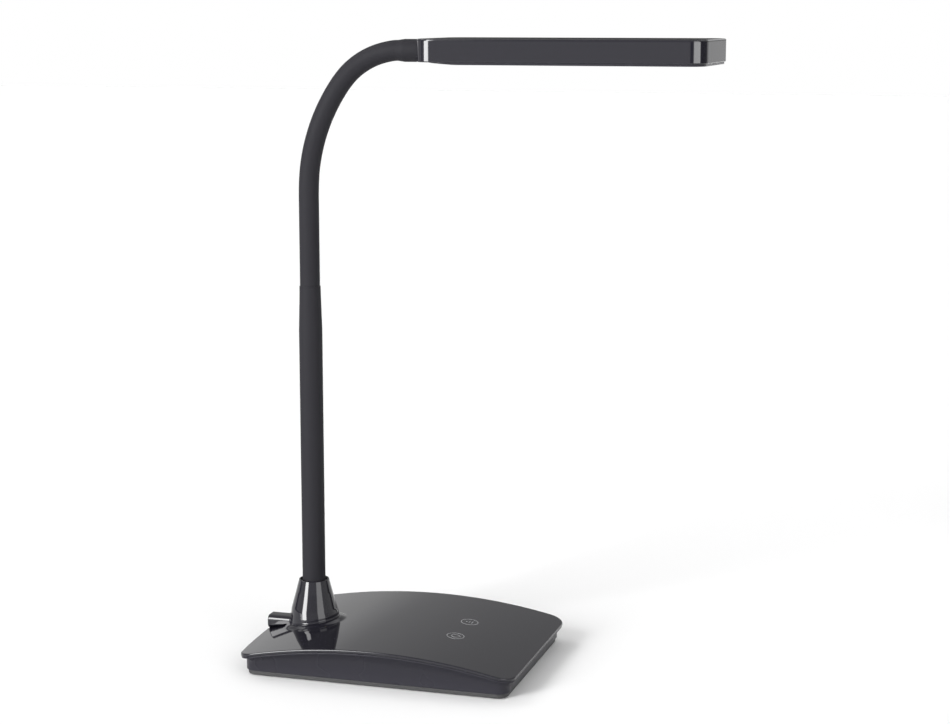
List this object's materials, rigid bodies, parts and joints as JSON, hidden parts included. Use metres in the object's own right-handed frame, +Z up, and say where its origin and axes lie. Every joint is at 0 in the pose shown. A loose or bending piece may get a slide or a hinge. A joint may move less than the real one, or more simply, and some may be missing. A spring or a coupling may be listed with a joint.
{
  "type": "desk lamp with flexible neck",
  "caption": "Desk lamp with a slim flat bar head on a flexible neck, a straight lower tube in a bell, and an arched base with touch marks.",
  "frame": {"origin": "middle of the base on the surface it stands on", "axes": "+X from the arm's foot towards the head and the user, +Y across the base, +Z up"},
  "size_m": [0.3183, 0.149, 0.4358],
  "materials": {
    "gloss_black": "high gloss injection moulded",
    "satin_black": "satin moulded",
    "cover_black": "fine texture",
    "pad_rubber": "matt",
    "neck_rubber": "smooth matt soft touch",
    "core_steel": "drawn",
    "ballast_steel": "blank sheet",
    "zinc_steel": "zinc plated",
    "black_screw": "black oxide",
    "key_ink": "printed",
    "board_laminate": "green lacquer",
    "contact_foam": "conductive foam",
    "lead_jacket": "smooth",
    "white_board": "white lacquer",
    "light_point": "clear yellow",
    "heat_aluminium": "rolled",
    "opal": "frosted"
  },
  "bodies": {
    "root": {"top_plate": "gloss_black", "base_housing": "satin_black", "bottom_cover": "cover_black", "antislip_pad": "pad_rubber", "ballast_plate": "ballast_steel", "cover_screws": "zinc_steel", "key_marks": "key_ink", "touch_board": "board_laminate", "touch_pads": "contact_foam", "driver_board": "board_laminate", "arm_bell": "gloss_black", "bell_screws": "zinc_steel", "inlet_grommet": "pad_rubber", "arm_tube": "core_steel", "tube_washer": "zinc_steel", "tube_nut_upper": "zinc_steel", "tube_nut_lower": "zinc_steel", "tube_sleeve": "neck_rubber", "neck_ferrule": "core_steel", "arm_lead": "lead_jacket", "neck_root_skin": "neck_rubber", "neck_root_core": "core_steel"},
    "neck_link_1": {"neck_skin_1": "neck_rubber", "neck_core_1": "core_steel"},
    "neck_link_2": {"neck_skin_2": "neck_rubber", "neck_core_2": "core_steel"},
    "neck_link_3": {"neck_skin_3": "neck_rubber", "neck_core_3": "core_steel"},
    "neck_link_4": {"neck_skin_4": "neck_rubber", "neck_core_4": "core_steel"},
    "neck_link_5": {"neck_skin_5": "neck_rubber", "neck_core_5": "core_steel"},
    "neck_link_6": {"neck_skin_6": "neck_rubber", "neck_core_6": "core_steel"},
    "neck_link_7": {"neck_skin_7": "neck_rubber", "neck_core_7": "core_steel"},
    "neck_link_8": {"neck_skin_8": "neck_rubber", "neck_core_8": "core_steel"},
    "neck_link_9": {"neck_skin_9": "neck_rubber", "neck_core_9": "core_steel"},
    "neck_link_10": {"neck_skin_10": "neck_rubber", "neck_core_10": "core_steel", "head_cuff": "neck_rubber", "swivel_pin": "core_steel", "swivel_nut": "zinc_steel", "swivel_washer": "zinc_steel"},
    "head": {"head_shell": "gloss_black", "light_frame": "satin_black", "frame_screws": "black_screw", "diffuser": "opal", "led_board": "white_board", "led_chips": "light_point", "heat_plate": "heat_aluminium", "board_screws": "zinc_steel", "head_lead": "lead_jacket"}
  },
  "joints": [
    {"name": "neck_lean", "type": "hinge", "parent": "root", "child": "neck_link_1", "pos_m": [-0.0695, 0, 0.279], "axis": [1, 0, 0], "range_deg": [-20, 20]},
    {"name": "neck_lean_2", "type": "hinge", "parent": "neck_link_1", "child": "neck_link_2", "pos_m": [-0.0695, 0, 0.309], "axis": [1, 0, 0], "range_deg": [-20.05, 20.05]},
    {"name": "neck_bend", "type": "hinge", "parent": "neck_link_2", "child": "neck_link_3", "pos_m": [-0.0695, 0, 0.3389], "axis": [0, 1, 0], "range_deg": [-8.5, 7.08]},
    {"name": "neck_bend_2", "type": "hinge", "parent": "neck_link_3", "child": "neck_link_4", "pos_m": [-0.06669, 0, 0.35769], "axis": [0, 1, 0], "range_deg": [-8.55, 7.13]},
    {"name": "neck_bend_3", "type": "hinge", "parent": "neck_link_4", "child": "neck_link_5", "pos_m": [-0.06114, 0, 0.37586], "axis": [0, 1, 0], "range_deg": [-8.55, 7.13]},
    {"name": "neck_bend_4", "type": "hinge", "parent": "neck_link_5", "child": "neck_link_6", "pos_m": [-0.05296, 0, 0.39301], "axis": [0, 1, 0], "range_deg": [-8.55, 7.13]},
    {"name": "neck_bend_5", "type": "hinge", "parent": "neck_link_6", "child": "neck_link_7", "pos_m": [-0.04233, 0, 0.40876], "axis": [0, 1, 0], "range_deg": [-14.05, 11.72]},
    {"name": "neck_bend_6", "type": "hinge", "parent": "neck_link_7", "child": "neck_link_8", "pos_m": [-0.0323, 0, 0.4178], "axis": [0, 1, 0], "range_deg": [-14.05, 11.72]},
    {"name": "neck_bend_7", "type": "hinge", "parent": "neck_link_8", "child": "neck_link_9", "pos_m": [-0.02038, 0, 0.42413], "axis": [0, 1, 0], "range_deg": [-14.05, 11.72]},
    {"name": "neck_bend_8", "type": "hinge", "parent": "neck_link_9", "child": "neck_link_10", "pos_m": [-0.00728, 0, 0.4274], "axis": [0, 1, 0], "range_deg": [-14.05, 11.72]},
    {"name": "head_twist", "type": "hinge", "parent": "neck_link_10", "child": "head", "pos_m": [0.02122, 0, 0.4274], "axis": [1, 0, 0], "range_deg": [-90, 90]}
  ],
  "couplings": [
    {"joint": "neck_lean_2", "follows": "neck_lean", "ratio": 1},
    {"joint": "neck_bend_2", "follows": "neck_bend", "ratio": 1},
    {"joint": "neck_bend_3", "follows": "neck_bend", "ratio": 1},
    {"joint": "neck_bend_4", "follows": "neck_bend", "ratio": 1},
    {"joint": "neck_bend_5", "follows": "neck_bend", "ratio": 1.6471},
    {"joint": "neck_bend_6", "follows": "neck_bend", "ratio": 1.6471},
    {"joint": "neck_bend_7", "follows": "neck_bend", "ratio": 1.6471},
    {"joint": "neck_bend_8", "follows": "neck_bend", "ratio": 1.6471}
  ]
}
